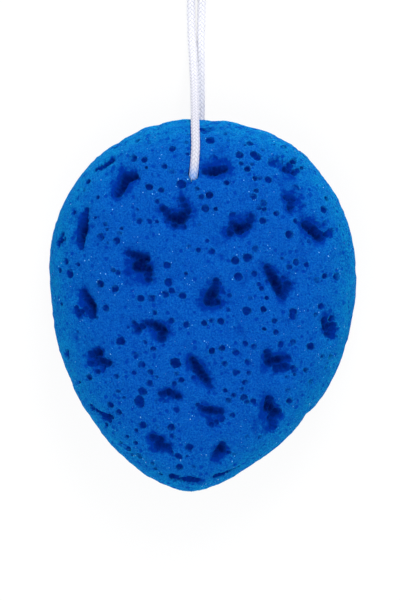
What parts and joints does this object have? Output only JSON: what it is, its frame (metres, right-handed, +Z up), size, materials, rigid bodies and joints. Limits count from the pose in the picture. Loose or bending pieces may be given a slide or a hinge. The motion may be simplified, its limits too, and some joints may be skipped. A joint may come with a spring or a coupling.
{
  "type": "foam bath sponge",
  "caption": "Drop-shaped pebble of coarse open foam, pitted with pores and cavities, with a braided cord loop threaded through its wide end.",
  "frame": {"origin": "under the middle of the foam's outline, on the plane of its flat back", "axes": "+Z up out of the flat back through the domed front, +Y along the length from the blunt tip to the crown that holds the cord, +X to the right seen from the front with the crown up"},
  "size_m": [0.12, 0.222, 0.046],
  "materials": {
    "foam": "matt open foam, velvety at the rim",
    "cord": "matt white braid"
  },
  "bodies": {
    "root": {"foam_body": "foam", "hanging_cord": "cord", "cord_knot": "cord"}
  },
  "joints": []
}
